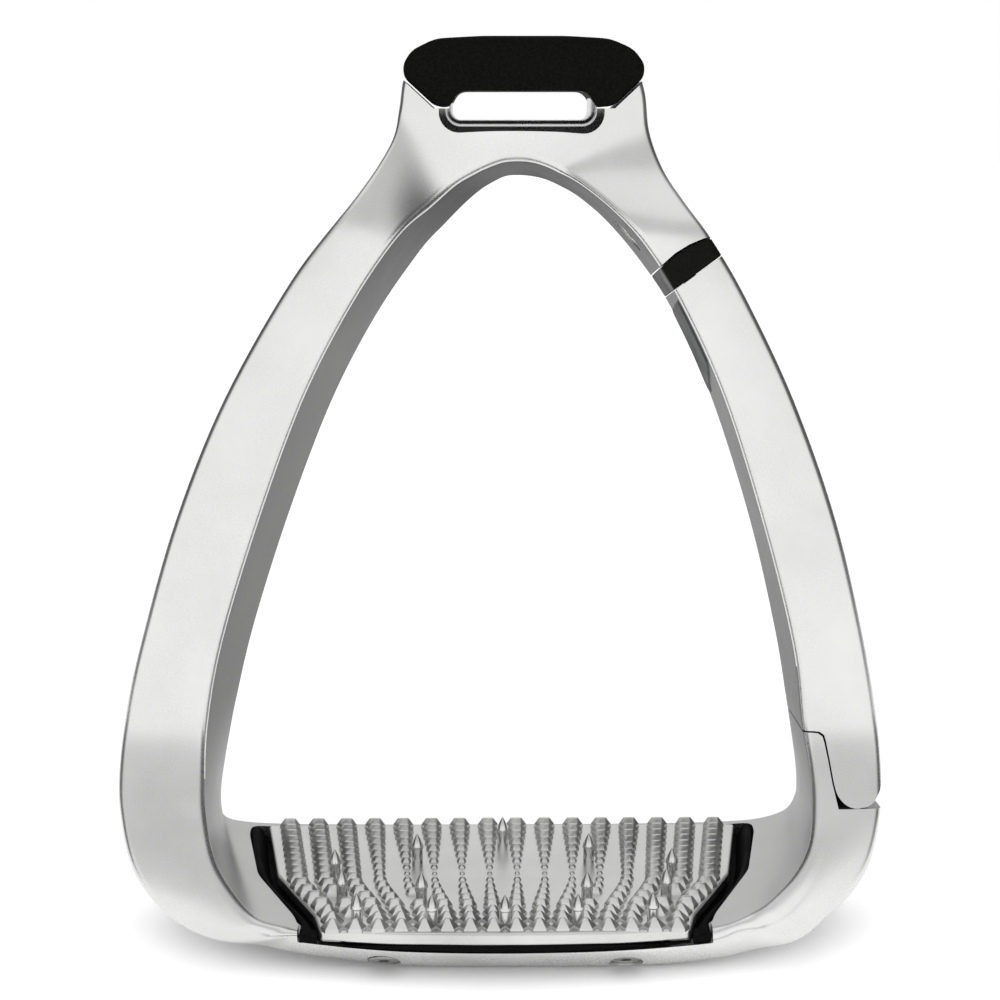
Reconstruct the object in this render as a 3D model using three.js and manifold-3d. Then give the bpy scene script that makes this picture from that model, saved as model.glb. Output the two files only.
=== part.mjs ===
// Safety stirrup iron: one closed metal ring split into a fixed frame and a hinged outer branch.
// Millimetres. +X to the release side, +Y to the rear, +Z up. Origin: middle of the flat base.
import * as THREE from "three";
import { mergeVertices } from "three/addons/utils/BufferGeometryUtils.js";
import Module from "manifold-3d";

const wasm = await Module();
wasm.setup();

// ---- driving dimensions ------------------------------------------------------------------
const GAP = 0.3;
const LEAN = THREE.MathUtils.degToRad(9);
const SIN = Math.sin(LEAN);
const COS = Math.cos(LEAN);
const LEAN_FULL_Z = 38;
const LEAN_NONE_Z = 9;
const BRANCH_HALF = 17;
const EYE_HALF = 9.2;
const BED_HALF = 29;
const WALL_SKEW = 1.1;
const EDGE_OUTER = 1.6;
const EDGE_INNER = 0.9;
const HEEL_FLARE = 2.2;
const KEEL_RUN = 6.5;
const KEEL_RISE = 5.4;
const RING_STEPS = 3;

// Ring: [outer x, outer z, inner front x, inner front z, inner rear x, inner rear z] once round
// from the top of the eye. The heights are those at mid depth, before the branches lean.
const RING = [
  [4, 166.2, 3.2, 143.4, 3.4, 142.9],
  [-9, 165.6, 0.2, 143.2, 0.8, 142.7],
  [-15.4, 163.2, -2.8, 142.2, -1.8, 141.5],
  [-18.3, 159, -5.6, 140.9, -4.2, 140],
  [-19.3, 153, -9.2, 138.8, -6.8, 137.8],
  [-20.8, 146, -13.6, 134.7, -10.9, 134],
  [-26.9, 135.2, -19.4, 128.9, -16.6, 128.5],
  [-37.9, 120.9, -28.1, 116.2, -25.3, 116.1],
  [-50.4, 99.3, -36.9, 99.4, -34.1, 99.4],
  [-59.4, 77.5, -45.1, 77.6, -42.6, 77.6],
  [-65.8, 55.8, -51.9, 55.7, -49.7, 55.7],
  [-69.2, 41, -54.7, 40.5, -53.5, 40.3],
  [-70.2, 31, -54.8, 30, -55.6, 31],
  [-69.4, 24.6, -54, 24.8, -56.8, 25],
  [-67.4, 19.2, -52, 19.4, -57.8, 19.2],
  [-64.2, 15.3, -48.4, 15.1, -58.2, 14],
  [-59.6, 11.5, -44.6, 12, -57.4, 10.6],
  [-52, 7.3, -40, 10.4, -52.6, 9.3],
  [-42, 3.7, -35, 9.4, -42, 8.8],
  [-30, 1.6, -28, 8.8, -30, 8.7],
  [-18, 0.3, -18, 8.6, -18, 8.6],
  [0, 0, 0, 8.6, 0, 8.6],
  [18, 0, 18, 8.6, 18, 8.6],
  [29, 0.3, 27, 8.7, 29, 8.7],
  [36.5, 1.1, 34, 9.3, 38, 8.8],
  [43.5, 2.5, 39.5, 10.4, 47, 9.1],
  [51.5, 5.9, 44.6, 12.7, 54, 9.8],
  [58, 11.2, 49, 15.8, 59, 11.8],
  [62.8, 14.8, 52.6, 19, 60.8, 15.6],
  [66.5, 19.2, 55, 22.6, 60.8, 20],
  [69, 25.8, 56, 27.2, 60, 26],
  [70, 32, 56, 32.6, 58.8, 32.4],
  [69.9, 41, 54.9, 41, 57.2, 41],
  [67.6, 55.5, 53.3, 54.6, 55, 54],
  [62.3, 77.4, 48, 75.8, 50, 75.5],
  [54.5, 99.1, 40.6, 99.2, 42.4, 99.3],
  [45.8, 117.3, 32.7, 116.4, 34.8, 116.4],
  [39.5, 128, 25.9, 127.2, 27.8, 127.1],
  [34.3, 135.2, 19.5, 134.4, 21.4, 134.2],
  [30.1, 141.7, 14, 139.2, 15.6, 138.7],
  [27.4, 148.9, 10.3, 141.4, 11.4, 140.9],
  [26.3, 157, 7.6, 142.6, 8.6, 142.1],
  [22.8, 163.4, 5.4, 143.2, 6, 142.7],
];

// Eye and its pad, in X and Z.
const SLOT = { x0: -9.5, x1: 16.5, z0: 152.3, z1: 157.6, corner: 1.6, flare: 2.6 };
const EYE_Y = 23.8;
const PAD_HALF = 10;
const PAD = [
  [-8.3, 157.6],
  [-9.8, 154.7],
  [-12.6, 154.7],
  [-18.4, 160],
  [-18.6, 162.4],
  [-17, 165],
  [-12.5, 167.2],
  [-4, 167.7],
  [12, 167.7],
  [20, 167.2],
  [24.5, 165.2],
  [26.5, 162.4],
  [26.3, 160],
  [20.6, 154.7],
  [17.4, 154.7],
  [15.8, 157.6],
];
const PAD_MIDDLE = [4, 161];
const PAD_MOUTH = [
  [-10.3, 154.4],
  [17.9, 154.4],
  [17.9, 158.2],
  [-10.3, 158.2],
];
const CORE = { x0: -14.8, x1: 22.8, leg: 3.4, z0: 149, z1: 165, bar: 4.2, half: 5 };

// Joints of the ring, in X and distance up the leaning branch plane.
const PIVOT = [65.2, 29];
const PIN_R = 1.6;
const LUG_R = 3.3;
const LUG_HALF = 5;
const HEEL_R = 3.2;
const HEEL_INNER = 4.7;
const PIN_FRONT = -17;
const PIN_REAR = 19;
const SEAM = [
  [31.7, 120.5],
  [39.6, 126.3],
];
const STEP_X = 60.4;
const STEP_TOP = 38.8;
const LEDGE = 25.6;
const CATCH = [35.9, 123.6];
const CATCH_DIR = [-0.53, 0.848];
const CATCH_R = 1.5;
const CATCH_NOSE = 1.2;
const CATCH_BODY = 4.6;
const CATCH_SHOULDER = 3.2;
const CATCH_STEM_R = 0.6;
const CATCH_BORE = 11;
const SPRING = { turns: 4, radius: 1.15, wire: 0.28 };
const SCREW = [24.4, 132.1];
const SCREW_DIR = [0.75, 0.66];
const SCREW_HEAD_R = 3.4;
const SCREW_SHANK_R = 1.5;
const SCREW_LENGTH = 6.4;
const NOTCH = { length: 18, depth: 4.2, height: 4.4, shift: -7 };
const STRIKER = { low: 101, high: 118.4, inner: 18, lowX: 45, highX: 36.3, half: 13 };
const SEAM_EASE = 0.5;
const FORK_RISE = 4.6;

// Tread: right half of each outline, in X and Y, from the rear to the front.
const PLATE = [
  [48, 25.5],
  [43.5, -1.6],
  [34.8, -21.5],
  [33.4, -28.1],
  [20, -29.5],
  [5, -30],
];
const RUBBER = [
  [51.2, 26],
  [51.2, 21],
  [46.8, -3],
  [38.1, -22],
  [37, -26.1],
];
const FRONT_Y = -28.9;
const LIP_Y = -26.4;
const LIP_HALF = 37.3;
const LIP_LOW = 5.3;
const LIP_RISE = 2;
const LIP_RUBBER = 1.6;
const FAR_Y = 40;
const ABOVE = 30;
const BED_FLOOR = 5.2;
const RUBBER_TOP = 6.9;
const RUBBER_RIM = 9.4;
const OVERLAP = 0.01;
const PLATE_Z0 = 7.2;
const PLATE_Z1 = 9.6;
const TOOTH_ROWS = 17;
const TOOTH_COLUMNS = 16;
const TOOTH_FIRST_Y = 24.1;
const TOOTH_PITCH = 3.21;
const TOOTH_W = 2.5;
const TOOTH_H = 1.5;
const TOOTH_SINK = 0.3;
const TOOTH_TIP = 0.35;
const TOOTH_CLEAR = 3.2;
const COLUMN_REAR = 5.8;
const COLUMN_MIDDLE = 5.3;
const COLUMN_FRONT = 4.14;
const COLUMN_BEND_Y = -1.6;
const PINS = [
  [0, 14.4],
  [-16.8, 5.2],
  [16.8, 5.2],
  [-32.3, -3],
  [32.3, -3],
  [-30.3, -13.2],
  [30.3, -13.2],
  [-15.4, -14.8],
  [15.4, -14.8],
  [-13.2, -25.4],
  [13.2, -25.4],
  [-26.8, -24.7],
  [26.8, -24.7],
  [0, -25.8],
];
const STUD_R = 1.25;
const STUD_TOP = 15.3;
const STUD_POINT = 2.4;
const STUD_TIP_R = 0.25;
const TREAD_SCREW_X = 22;
const TREAD_SCREW_Y = -25.4;
const TREAD_SCREW_Z = 2.4;
const TREAD_SCREW_DIR = [0, 0.56, 0.83];
const THROUGH = 60;

// ---- solids ------------------------------------------------------------------------------
function solid(geometry) {
  const g = geometry.index ? geometry.toNonIndexed() : geometry.clone();
  g.deleteAttribute("normal");
  g.deleteAttribute("uv");
  const m = mergeVertices(g, 1e-4);
  return new wasm.Manifold(new wasm.Mesh({
    numProp: 3,
    vertProperties: new Float32Array(m.attributes.position.array),
    triVerts: new Uint32Array(m.index.array),
  }));
}

function facets(points, faces) {
  const g = new THREE.BufferGeometry();
  const list = [];
  for (const f of faces) {
    for (const i of f) {
      list.push(...points[i]);
    }
  }
  g.setAttribute("position", new THREE.Float32BufferAttribute(list, 3));
  return solid(g);
}

function smooth(t) {
  const c = Math.min(1, Math.max(0, t));
  return c * c * (3 - 2 * c);
}

function spline(p0, p1, p2, p3, t) {
  return 0.5 * (2 * p1 + (p2 - p0) * t + (2 * p0 - 5 * p1 + 4 * p2 - p3) * t * t
    + (3 * p1 - p0 - 3 * p2 + p3) * t * t * t);
}

function ringStations(steps) {
  const out = [];
  const n = RING.length;
  for (let i = 0; i < n; i++) {
    for (let k = 0; k < steps; k++) {
      const q = [0, 1, 2, 3, 4, 5].map((c) => spline(
        RING[(i + n - 1) % n][c], RING[i][c], RING[(i + 1) % n][c], RING[(i + 2) % n][c], k / steps));
      q[1] = Math.max(0, q[1]);
      out.push(q);
    }
  }
  return out;
}

function depthAt(z) {
  const eye = smooth((z - 128) / 18);
  const bed = smooth((42 - z) / 33);
  return BRANCH_HALF + (EYE_HALF - BRANCH_HALF) * eye + (BED_HALF - BRANCH_HALF) * bed;
}

function section(st) {
  const [ox, oz, fx, fz, bx, bz] = st;
  const z = (2 * oz + fz + bz) / 4;
  const half = depthAt(z);
  const lean = LEAN * smooth((z - LEAN_NONE_Z) / (LEAN_FULL_Z - LEAN_NONE_Z));
  const mid = Math.max(0, z - 10) * Math.tan(LEAN);
  const skew = WALL_SKEW * smooth((z - 12) / 40) * (1 - smooth((z - 128) / 18));
  const thick = Math.hypot(ox - (fx + bx) / 2, oz - (fz + bz) / 2);
  const bed = smooth((58 - Math.abs(ox)) / 14) * smooth((12 - oz) / 8);
  const cd = EDGE_OUTER + (KEEL_RUN - EDGE_OUTER) * bed;
  const ct = EDGE_OUTER + (KEEL_RISE - EDGE_OUTER) * bed;
  const ci = EDGE_INNER;
  // The rear of each lower corner stands out and down, so that its wall keeps its thickness.
  const heel = HEEL_FLARE * smooth((Math.abs(ox) - 42) / 10) * smooth((24 - oz) / 8);
  const at = (s, t) => {
    const ix = (fx + bx) / 2 + ((bx - fx) / 2) * s;
    const iz = (fz + bz) / 2 + ((bz - fz) / 2) * s;
    const px = ox + skew * s + (Math.sign(ox) * heel * (1 + s)) / 2;
    const pz = oz - (heel * (1 + s)) / 2;
    const depth = s * half;
    return [px * (1 - t) + ix * t, mid + depth * Math.cos(lean), pz + (iz - pz) * t - depth * Math.sin(lean)];
  };
  return [
    at(-1 + cd / half, 0),
    at(1 - cd / half, 0),
    at(1, ct / thick),
    at(1, 1 - ci / thick),
    at(1 - ci / half, 1),
    at(-1 + ci / half, 1),
    at(-1, 1 - ci / thick),
    at(-1, ct / thick),
  ];
}

function ring() {
  const rows = ringStations(RING_STEPS).map(section);
  const n = rows.length;
  const m = rows[0].length;
  const faces = [];
  for (let i = 0; i < n; i++) {
    for (let j = 0; j < m; j++) {
      const a = i * m + j;
      const b = ((i + 1) % n) * m + j;
      const c = ((i + 1) % n) * m + ((j + 1) % m);
      const d = i * m + ((j + 1) % m);
      faces.push([a, b, c], [a, c, d]);
    }
  }
  const body = facets(rows.flat(), faces);
  return body.volume() > 0 ? body : facets(rows.flat(), faces.map((f) => [f[0], f[2], f[1]]));
}

function extrude(points, depth) {
  const shape = new THREE.Shape(points.map(([x, y]) => new THREE.Vector2(x, y)));
  return new THREE.ExtrudeGeometry(shape, { depth, bevelEnabled: false, steps: 1 });
}

// A prism on the leaning branch plane: points are [x, up the branch], d runs front to rear.
function branchPrism(points, d0, d1) {
  const g = extrude(points, d1 - d0);
  const m = new THREE.Matrix4().makeBasis(
    new THREE.Vector3(1, 0, 0), new THREE.Vector3(0, SIN, COS), new THREE.Vector3(0, -COS, SIN));
  m.setPosition(0, d1 * COS, -d1 * SIN);
  g.applyMatrix4(m);
  return solid(g);
}

// A prism along Y: points are [x, z].
function eyePrism(points, y0, y1) {
  const g = extrude(points, y1 - y0);
  g.rotateX(Math.PI / 2);
  g.translate(0, y1, 0);
  return solid(g);
}

// A prism along Z: points are [x, y].
function slab(points, z0, z1) {
  const g = extrude(points, z1 - z0);
  g.translate(0, 0, z0);
  return solid(g);
}

// A body of revolution. profile is [radius, distance along the axis] from one axis point to the other.
function turned(profile, at, dir, segments = 20) {
  const g = new THREE.LatheGeometry(profile.map(([r, y]) => new THREE.Vector2(r, y)), segments);
  const q = new THREE.Quaternion().setFromUnitVectors(
    new THREE.Vector3(0, 1, 0), new THREE.Vector3(...dir).normalize());
  g.applyQuaternion(q);
  g.translate(...at);
  const body = solid(g);
  if (body.volume() > 0) {
    return body;
  }
  const flipped = new THREE.LatheGeometry(
    profile.slice().reverse().map(([r, y]) => new THREE.Vector2(r, y)), segments);
  flipped.applyQuaternion(q);
  flipped.translate(...at);
  return solid(flipped);
}

function onBranch(x, w, d) {
  return [x, w * SIN + d * COS, w * COS - d * SIN];
}

const NORMAL = [0, COS, -SIN];
const MID_D = -10 * SIN;

function circle(cx, cy, r, n = 28) {
  return Array.from({ length: n }, (_, i) => {
    const a = (2 * Math.PI * i) / n;
    return [cx + r * Math.cos(a), cy + r * Math.sin(a)];
  });
}

// ---- the ring's three parts ----------------------------------------------------------------
function seamPoint(x, shift = 0) {
  const [a, b] = SEAM;
  const slope = (b[1] - a[1]) / (b[0] - a[0]);
  return [x, a[1] + slope * (x - a[0]) + shift];
}

function collarOutline(grow) {
  return [
    seamPoint(22, -grow),
    seamPoint(48, -grow),
    [48, 136 + grow],
    [36.8, 129.8 + grow],
    [34, 128.8 + grow],
    [31.4, 127.2 + grow],
    [28.8, 124.9 + grow],
    [26, 121.6 + grow],
    [22, 117 + grow],
  ];
}

function stepLine(gap) {
  return [
    [22, 100],
    [40, STEP_TOP + gap],
    [STEP_X - 3 + gap, STEP_TOP + gap],
    [STEP_X - 2 + gap, STEP_TOP - 0.6 + gap],
    [STEP_X - 1.5 + gap, STEP_TOP - 2 + gap],
    [STEP_X - 0.5 + gap, 31],
  ];
}

function armOutline() {
  const heel = [];
  for (let a = 180; a <= 330; a += 15) {
    const r = HEEL_R + (HEEL_INNER - HEEL_R) * Math.max(0, (270 - a) / 90);
    const t = THREE.MathUtils.degToRad(a);
    heel.push([PIVOT[0] + r * Math.cos(t), PIVOT[1] + r * Math.sin(t)]);
  }
  return [
    ...heel,
    [PIVOT[0] + 4, PIVOT[1] + 0.6],
    [80, 40],
    [80, 100],
    seamPoint(50, -GAP - SEAM_EASE),
    seamPoint(22, -GAP - SEAM_EASE),
    ...stepLine(GAP),
  ];
}

// What the arm and the notch round its heel take out of the fixed frame.
function armRoom() {
  return [
    [STEP_X, LEDGE],
    [80, LEDGE],
    seamPoint(80, 0),
    seamPoint(22, 0),
    ...stepLine(0),
  ];
}

function catchPoint() {
  return onBranch(CATCH[0], CATCH[1], MID_D);
}

function catchAxis() {
  return [CATCH_DIR[0], CATCH_DIR[1] * SIN, CATCH_DIR[1] * COS];
}

function catchBore(r, from, to) {
  return turned([[0, from], [r, from], [r, to], [0, to]], catchPoint(), catchAxis());
}

function screwPoint() {
  return onBranch(SCREW[0], SCREW[1], MID_D);
}

function screwAxis() {
  return [SCREW_DIR[0], SCREW_DIR[1] * SIN, SCREW_DIR[1] * COS];
}

function screwCut(grow) {
  const head = SCREW_HEAD_R + 0.1 + grow;
  const shank = SCREW_SHANK_R + grow;
  const end = SCREW_LENGTH + 0.1 + grow;
  return turned([
    [0, -4],
    [head, -4],
    [head, 0.2],
    [shank, 2.4 + grow],
    [shank, end],
    [0, end],
  ], screwPoint(), screwAxis());
}

function collarScrew() {
  const body = turned([
    [0, 0],
    [SCREW_HEAD_R, 0],
    [SCREW_HEAD_R, 0.2],
    [SCREW_SHANK_R, 2.2],
    [SCREW_SHANK_R, SCREW_LENGTH],
    [0, SCREW_LENGTH],
  ], screwPoint(), screwAxis());
  return body.subtract(hexSocket(1.35, 1.5, screwPoint(), screwAxis()));
}

function hexSocket(r, depth, at, dir) {
  return turned([[0, -1], [r, -1], [r, depth], [0, depth]], at, dir, 6);
}

function lug() {
  const disc = branchPrism(circle(PIVOT[0], PIVOT[1], LUG_R), MID_D - LUG_HALF, MID_D + LUG_HALF);
  const root = branchPrism([
    [STEP_X - 2, LEDGE - 2],
    [PIVOT[0] + 2.2, LEDGE - 2],
    [PIVOT[0] + 2.2, PIVOT[1] - 2.4],
    [PIVOT[0], PIVOT[1] + 2.4],
    [STEP_X - 2, PIVOT[1] + 2.4],
  ], MID_D - LUG_HALF, MID_D + LUG_HALF);
  return disc.add(root);
}

function pinBore(r, d0, d1) {
  return branchPrism(circle(PIVOT[0], PIVOT[1], r, 24), d0, d1);
}

// The recess across the top of the arm that lets the catch nose swing out.
function plungerNotch() {
  const g = new THREE.BoxGeometry(NOTCH.length, NOTCH.depth, NOTCH.height);
  g.translate(NOTCH.shift, 0, 0);
  g.rotateY(-Math.atan2(SEAM[1][1] - SEAM[0][1], SEAM[1][0] - SEAM[0][0]));
  g.translate(...catchPoint());
  return solid(g);
}

function strikerOutline(inset) {
  const low = STRIKER.low + inset;
  const high = STRIKER.high - inset;
  return [
    [STRIKER.inner, low],
    [STRIKER.lowX - inset, low],
    [STRIKER.highX - inset, high],
    [STRIKER.inner, high],
  ];
}

const whole = ring();

function padSolid(grow) {
  const [midX, midZ] = PAD_MIDDLE;
  const pts = PAD.map(([x, z]) => {
    const reach = Math.hypot(x - midX, z - midZ);
    return [x + ((x - midX) / reach) * grow, z + ((z - midZ) / reach) * grow];
  });
  const body = eyePrism(pts, EYE_Y - PAD_HALF - grow, EYE_Y + PAD_HALF + grow);
  if (!grow) {
    return body;
  }
  return body.add(eyePrism(PAD_MOUTH, EYE_Y - PAD_HALF - grow, EYE_Y + PAD_HALF + grow));
}

function coreSolid(grow) {
  const { x0, x1, leg, z0, z1, bar, half } = CORE;
  return eyePrism([
    [x0 - grow, z0],
    [x0 - grow, z1 - 2],
    [x0 + 2 - grow, z1 + grow],
    [x1 - 2 + grow, z1 + grow],
    [x1 + grow, z1 - 2],
    [x1 + grow, z0],
    [x1 - leg - grow, z0],
    [x1 - leg - grow, z1 - bar - grow],
    [x0 + leg + grow, z1 - bar - grow],
    [x0 + leg + grow, z0],
  ], EYE_Y - half - grow, EYE_Y + half + grow);
}

function slotRing(out, y, n = 5) {
  const { x0, x1, z0, z1, corner } = SLOT;
  const pts = [];
  const r = corner + out;
  const cs = [[x1 - corner, z0 + corner, -90], [x1 - corner, z1 + 2, 0], [x0 + corner, z1 + 2, 90],
    [x0 + corner, z0 + corner, 180]];
  for (const [cx, cz, a0] of cs) {
    for (let i = 0; i <= n; i++) {
      const a = THREE.MathUtils.degToRad(a0 + (90 * i) / n);
      pts.push([cx + r * Math.cos(a), y, cz + r * Math.sin(a)]);
    }
  }
  return pts;
}

function stack(rows) {
  const m = rows[0].length;
  const faces = [];
  for (let i = 0; i + 1 < rows.length; i++) {
    for (let j = 0; j < m; j++) {
      const k = (j + 1) % m;
      faces.push([i * m + j, i * m + k, (i + 1) * m + k], [i * m + j, (i + 1) * m + k, (i + 1) * m + j]);
    }
  }
  const last = (rows.length - 1) * m;
  for (let j = 1; j + 1 < m; j++) {
    faces.push([0, j + 1, j], [last, last + j, last + j + 1]);
  }
  const body = facets(rows.flat(), faces);
  return body.volume() > 0 ? body : facets(rows.flat(), faces.map((f) => [f[0], f[2], f[1]]));
}

function slotCut() {
  const f = SLOT.flare;
  return stack([
    slotRing(f + 2, EYE_Y - EYE_HALF - 3.5),
    slotRing(f * 0.5, EYE_Y - EYE_HALF + 0.8),
    slotRing(0, EYE_Y - EYE_HALF + 3.4),
    slotRing(0, EYE_Y + EYE_HALF - 3.4),
    slotRing(f * 0.5, EYE_Y + EYE_HALF - 0.8),
    slotRing(f + 2, EYE_Y + EYE_HALF + 3.5),
  ]);
}

function mirrored(half) {
  return [...half, ...half.map(([x, y]) => [-x, y]).reverse()];
}

// The frame's front lip under the tread: low in the middle and rising to each side.
function lipCurve(raise) {
  return Array.from({ length: 13 }, (_, i) => {
    const f = i / 6 - 1;
    return [f * LIP_HALF, LIP_LOW + LIP_RISE * f * f + raise];
  });
}

function treadPocket() {
  const right = RUBBER.map(([x, y]) => [x + GAP, y]);
  right[0][1] += GAP;
  right.at(-1)[1] = LIP_Y;
  const mouth = eyePrism([...lipCurve(0), [LIP_HALF, ABOVE], [-LIP_HALF, ABOVE]], -FAR_Y, LIP_Y + OVERLAP);
  return slab(mirrored(right), BED_FLOOR, ABOVE).add(mouth);
}

function facetScrew(x, grow) {
  const at = [x, TREAD_SCREW_Y, TREAD_SCREW_Z];
  const top = grow ? -4 : 0.1;
  const body = turned([
    [0, top],
    [2.9 + grow, top],
    [2.9 + grow, 0.3],
    [1.3 + grow, 1.9 + grow],
    [1.3 + grow, 6.6 + grow],
    [0, 6.6 + grow],
  ], at, TREAD_SCREW_DIR, 18);
  return grow ? body : body.subtract(hexSocket(1.1, 1.1, at, TREAD_SCREW_DIR));
}

function frameBody() {
  let body = whole.subtract(branchPrism(armRoom(), -THROUGH, THROUGH));
  body = body.subtract(branchPrism(collarOutline(0), -THROUGH, THROUGH));
  body = body.add(lug().intersect(whole));
  body = body.subtract(pinBore(PIN_R + GAP, -THROUGH, THROUGH).intersect(branchPrism(
    circle(PIVOT[0], PIVOT[1], 6), MID_D - LUG_HALF - 1, MID_D + LUG_HALF + 1)));
  body = body.subtract(catchBore(CATCH_R + GAP, -2, CATCH_BORE));
  body = body.subtract(screwCut(GAP));
  body = body.subtract(padSolid(GAP));
  body = body.subtract(slotCut());
  body = body.add(coreSolid(0));
  body = body.subtract(treadPocket());
  for (const x of [-TREAD_SCREW_X, TREAD_SCREW_X]) {
    body = body.subtract(facetScrew(x, GAP));
  }
  return body;
}

function releaseArm() {
  let body = whole.intersect(branchPrism(armOutline(), -THROUGH, THROUGH));
  const fork = [
    [40, 10],
    [90, 10],
    [90, PIVOT[1] + FORK_RISE],
    [STEP_X - 4, PIVOT[1] + FORK_RISE],
  ];
  body = body.subtract(branchPrism(fork, MID_D - LUG_HALF - GAP, MID_D + LUG_HALF + GAP));
  body = body.subtract(pinBore(PIN_R + GAP, PIN_FRONT - GAP, THROUGH));
  body = body.subtract(plungerNotch());
  body = body.subtract(branchPrism(strikerOutline(0), MID_D - STRIKER.half, MID_D + STRIKER.half));
  return body;
}

function latchCollar() {
  const trimmed = whole.intersect(branchPrism(collarOutline(-GAP), -THROUGH, THROUGH));
  return trimmed.subtract(catchBore(CATCH_R + GAP, -6, 20));
}

function striker() {
  const half = STRIKER.half - GAP;
  return whole.intersect(branchPrism(strikerOutline(GAP), MID_D - half, MID_D + half));
}

// A nose, a guided body and a slim stem that runs into the coil of the spring.
function plunger() {
  const r = CATCH_R;
  const n = -CATCH_NOSE;
  return turned([
    [0, n],
    [0.8, n + 0.2],
    [r, n + 1.2],
    [r, CATCH_SHOULDER],
    [CATCH_STEM_R, CATCH_SHOULDER],
    [CATCH_STEM_R, CATCH_BODY],
    [0, CATCH_BODY],
  ], catchPoint(), catchAxis());
}

function spring() {
  const { turns, radius, wire } = SPRING;
  const start = CATCH_BODY + GAP + wire;
  const length = CATCH_BORE - GAP - wire - start;
  const steps = turns * 12;
  const rows = [];
  for (let i = 0; i <= steps; i++) {
    const a = (2 * Math.PI * i) / 12;
    const row = [];
    for (let j = 0; j < 6; j++) {
      const b = (2 * Math.PI * j) / 6;
      const r = radius + wire * Math.cos(b);
      row.push([r * Math.cos(a), start + (length * i) / steps + wire * Math.sin(b), r * Math.sin(a)]);
    }
    rows.push(row);
  }
  const q = new THREE.Quaternion().setFromUnitVectors(
    new THREE.Vector3(0, 1, 0), new THREE.Vector3(...catchAxis()).normalize());
  const o = new THREE.Vector3(...catchPoint());
  return stack(rows.map((row) => row.map((p) => new THREE.Vector3(...p).applyQuaternion(q).add(o).toArray())));
}

function hingePin() {
  return turned([[0, 0], [PIN_R, 0], [PIN_R, PIN_REAR - PIN_FRONT], [0, PIN_REAR - PIN_FRONT]],
    onBranch(PIVOT[0], PIVOT[1], PIN_FRONT), NORMAL, 24);
}

// ---- tread -------------------------------------------------------------------------------
function treadRubber() {
  const well = [[PLATE[0][0] + GAP, FAR_Y], ...PLATE.map(([x, y], i) => [x + GAP, i ? y - GAP : y])];
  const under = lipCurve(GAP).map(([x, z]) => [x - Math.sign(x) * GAP, z]);
  const over = lipCurve(LIP_RUBBER).map(([x, z]) => [x - Math.sign(x) * GAP, z]).reverse();
  let body = slab(mirrored(RUBBER), BED_FLOOR + GAP, RUBBER_RIM);
  body = body.add(eyePrism([...under, ...over], FRONT_Y, RUBBER.at(-1)[1] + OVERLAP));
  body = body.subtract(slab(mirrored(well), RUBBER_TOP, ABOVE));
  for (const x of [-TREAD_SCREW_X, TREAD_SCREW_X]) {
    body = body.subtract(facetScrew(x, GAP));
  }
  return body;
}

// The columns run nearly straight over the rear half and close in towards the front.
function columnPitch(y) {
  if (y > COLUMN_BEND_Y) {
    const rear = (y - COLUMN_BEND_Y) / (PLATE[0][1] - COLUMN_BEND_Y);
    return COLUMN_MIDDLE + (COLUMN_REAR - COLUMN_MIDDLE) * rear;
  }
  const front = (COLUMN_BEND_Y - y) / (COLUMN_BEND_Y - PLATE.at(-1)[1]);
  return COLUMN_MIDDLE + (COLUMN_FRONT - COLUMN_MIDDLE) * smooth(front);
}

function tooth(x, y) {
  const base = TOOTH_W / 2;
  const tip = base * TOOTH_TIP;
  const square = (r, z) => [[x - r, y - r, z], [x + r, y - r, z], [x + r, y + r, z], [x - r, y + r, z]];
  return stack([square(base, PLATE_Z1 - TOOTH_SINK), square(tip, PLATE_Z1 + TOOTH_H)]);
}

function teeth() {
  const list = [];
  for (let row = 0; row < TOOTH_ROWS; row++) {
    const y = TOOTH_FIRST_Y - row * TOOTH_PITCH;
    for (let col = 0; col < TOOTH_COLUMNS; col++) {
      const x = (col - (TOOTH_COLUMNS - 1) / 2) * columnPitch(y);
      const clear = PINS.every(([px, py]) => Math.hypot(px - x, py - y) > TOOTH_CLEAR);
      if (clear) {
        list.push(tooth(x, y));
      }
    }
  }
  return list;
}

function treadPlate() {
  let body = slab(mirrored(PLATE), PLATE_Z0, PLATE_Z1);
  body = wasm.Manifold.union([body, ...teeth()]);
  const holes = PINS.map(([x, y]) => turned(
    [[0, 0], [STUD_R + GAP, 0], [STUD_R + GAP, 20], [0, 20]], [x, y, 0], [0, 0, 1], 12));
  body = body.subtract(wasm.Manifold.union(holes));
  for (const x of [-TREAD_SCREW_X, TREAD_SCREW_X]) {
    body = body.subtract(facetScrew(x, GAP));
  }
  return body;
}

function stud([x, y]) {
  const r = STUD_R;
  return turned([
    [0, PLATE_Z0],
    [r, PLATE_Z0],
    [r, STUD_TOP - STUD_POINT],
    [STUD_TIP_R, STUD_TOP],
    [0, STUD_TOP],
  ], [x, y, 0], [0, 0, 1], 12);
}

// ---- assembly ------------------------------------------------------------------------------
const LOOK = {
  alloy: { color: 0xb9bbbd, metalness: 0.9, roughness: 0.35 },
  stainless: { color: 0xa8aaab, metalness: 0.95, roughness: 0.3 },
  steel: { color: 0x6f7275, metalness: 0.9, roughness: 0.4 },
  polymer: { color: 0x1a1b1c, metalness: 0, roughness: 0.7 },
  insert: { color: 0x3c3e40, metalness: 0.3, roughness: 0.5 },
};

const stirrup = new THREE.Group();
stirrup.name = "stirrup_iron";

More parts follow.
